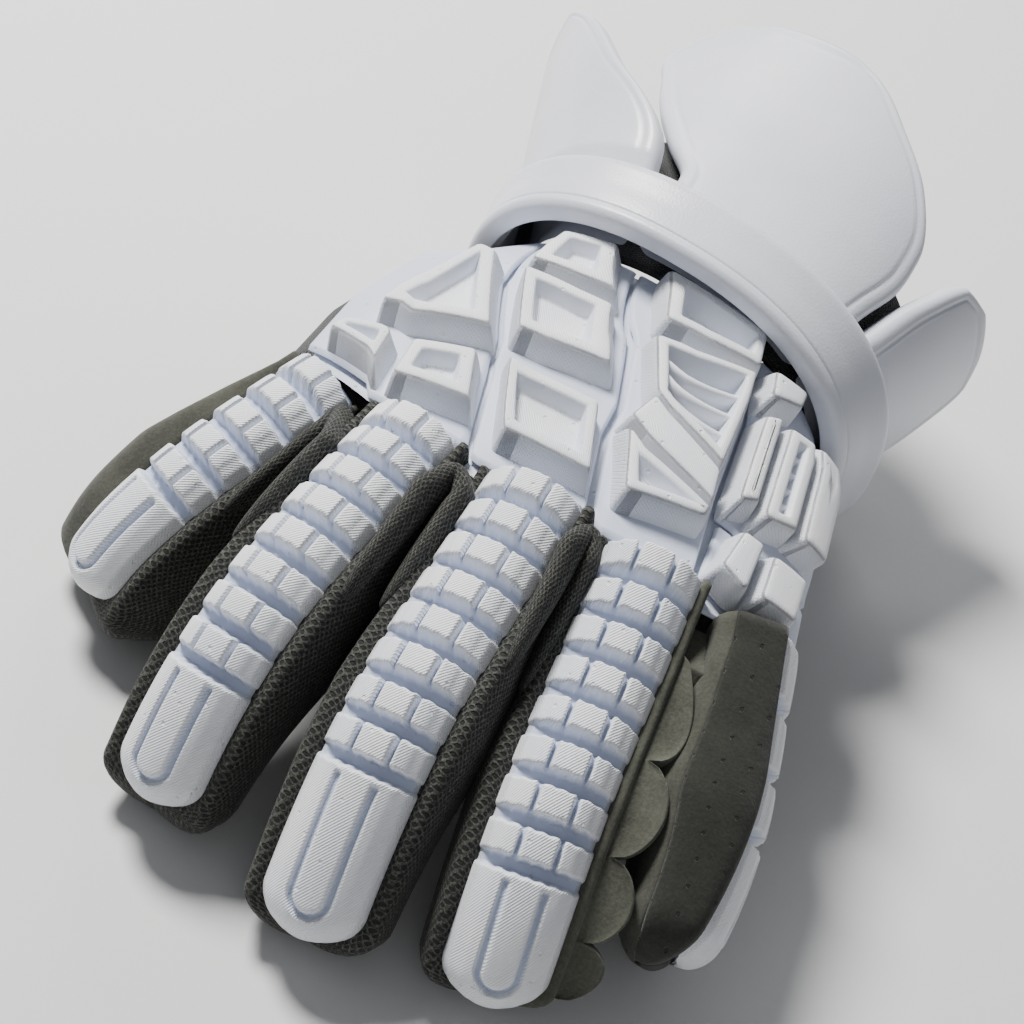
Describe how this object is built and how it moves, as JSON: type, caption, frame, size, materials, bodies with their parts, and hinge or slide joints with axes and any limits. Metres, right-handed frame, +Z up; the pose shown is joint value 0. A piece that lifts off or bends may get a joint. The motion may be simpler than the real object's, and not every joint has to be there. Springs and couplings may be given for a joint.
{
  "type": "lacrosse glove",
  "caption": "Right-hand padded sports glove with blocky white finger guards, ribbed back plates, a wrist band, flared cuff flaps and mesh and suede fingers",
  "frame": {"origin": "centre of the resting face under the glove", "axes": "+Z up out of the back of the hand, fingers toward -Y, cuff toward +Y, thumb toward +X"},
  "size_m": [0.207, 0.3244, 0.1087],
  "materials": {
    "index_guard": "moulded white foam with a fine texture",
    "middle_guard": "moulded white foam with a fine texture",
    "ring_guard": "moulded white foam with a fine texture",
    "pinky_guard": "moulded white foam with a fine texture",
    "thumb_guard": "moulded white foam with a fine texture",
    "index_gusset": "dark grey spacer mesh",
    "index_palm": "olive grey suede",
    "middle_gusset": "dark grey spacer mesh",
    "middle_palm": "olive grey suede",
    "ring_gusset": "dark grey spacer mesh",
    "ring_palm": "olive grey suede",
    "pinky_gusset": "dark grey spacer mesh",
    "pinky_palm": "olive grey suede",
    "thumb_gusset": "olive grey suede",
    "thumb_palm": "olive grey suede",
    "index_side_pad": "olive grey suede",
    "back_plate_ulnar": "moulded white foam with a fine texture",
    "back_plate_centre": "moulded white foam with a fine texture",
    "back_plate_radial": "moulded white foam with a fine texture",
    "back_plate_side": "moulded white foam with a fine texture",
    "thumb_base_plate": "moulded white foam with a fine texture",
    "back_liner": "dark knitted cloth",
    "palm": "olive grey suede",
    "wrist_band": "smooth satin white skin over padding",
    "dorsal_flap": "smooth satin white skin over padding",
    "ulnar_flap": "smooth satin white skin over padding",
    "radial_flap": "smooth satin white skin over padding",
    "cuff_liner": "dark knitted cloth",
    "thumb_web": "olive grey suede"
  },
  "bodies": {
    "root": {"index_guard": "index_guard", "middle_guard": "middle_guard", "ring_guard": "ring_guard", "pinky_guard": "pinky_guard", "thumb_guard": "thumb_guard", "index_gusset": "index_gusset", "index_palm": "index_palm", "middle_gusset": "middle_gusset", "middle_palm": "middle_palm", "ring_gusset": "ring_gusset", "ring_palm": "ring_palm", "pinky_gusset": "pinky_gusset", "pinky_palm": "pinky_palm", "thumb_gusset": "thumb_gusset", "thumb_palm": "thumb_palm", "index_side_pad": "index_side_pad", "back_plate_ulnar": "back_plate_ulnar", "back_plate_centre": "back_plate_centre", "back_plate_radial": "back_plate_radial", "back_plate_side": "back_plate_side", "thumb_base_plate": "thumb_base_plate", "back_liner": "back_liner", "palm": "palm", "wrist_band": "wrist_band", "dorsal_flap": "dorsal_flap", "ulnar_flap": "ulnar_flap", "radial_flap": "radial_flap", "cuff_liner": "cuff_liner", "thumb_web": "thumb_web"}
  },
  "joints": []
}
